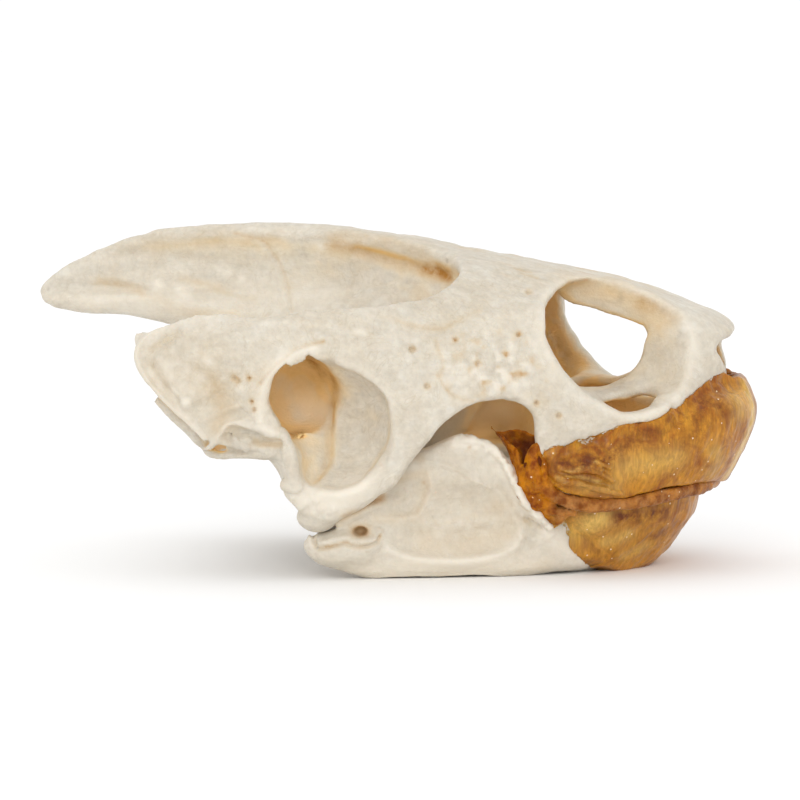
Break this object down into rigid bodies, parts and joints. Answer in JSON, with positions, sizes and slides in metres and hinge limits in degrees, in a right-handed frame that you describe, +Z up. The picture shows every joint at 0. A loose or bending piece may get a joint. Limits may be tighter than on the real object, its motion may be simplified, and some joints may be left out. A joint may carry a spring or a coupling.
{
  "type": "turtle skull",
  "caption": "Dried pond turtle skull with a long rear crest, open eye and ear hollows and horny beak sheaths on both jaws, for display, study or set dressing",
  "frame": {"origin": "on the ground, below the middle of the skull's box", "axes": "+X towards the snout, +Y towards the animal's left, +Z up; the skull stands on the lower edges of its mandible"},
  "size_m": [0.0554, 0.0352, 0.0259],
  "materials": {
    "cranium_bone": "dry ivory bone, matt with fine pores, amber in the hollows",
    "mandible_bone": "dry ivory bone, matt with fine pores",
    "upper_horn": "dried amber horn, satin, streaked and mottled brown",
    "lower_horn": "dried amber horn, satin, streaked yellow and brown"
  },
  "bodies": {
    "root": {"cranium": "cranium_bone", "mandible": "mandible_bone", "upper_beak": "upper_horn", "lower_beak": "lower_horn"}
  },
  "joints": []
}
